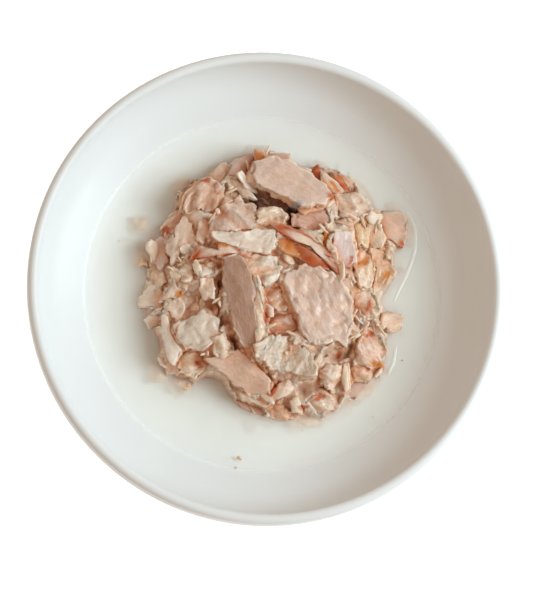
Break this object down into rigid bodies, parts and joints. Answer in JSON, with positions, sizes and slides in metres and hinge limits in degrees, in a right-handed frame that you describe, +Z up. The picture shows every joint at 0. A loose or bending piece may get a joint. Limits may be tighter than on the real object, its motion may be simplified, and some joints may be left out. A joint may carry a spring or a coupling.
{
  "type": "bowl of flaked tuna cat food",
  "caption": "White coupe bowl holding a loose heap of flaked tuna that stands in a shallow cloudy broth.",
  "frame": {"origin": "centre of the foot ring, on the surface the bowl stands on", "axes": "+Z up along the bowl's axis; +Y towards the high slab at the back of the heap, +X to the right seen from above"},
  "size_m": [0.2, 0.2, 0.04],
  "materials": {
    "white_glaze": "smooth glossy white glaze",
    "cloudy_broth": "wet, cloudy, half clear",
    "tuna_flesh": "moist fibrous flesh"
  },
  "bodies": {
    "root": {"bowl": "white_glaze", "broth": "cloudy_broth", "tuna_heap": "tuna_flesh"}
  },
  "joints": []
}
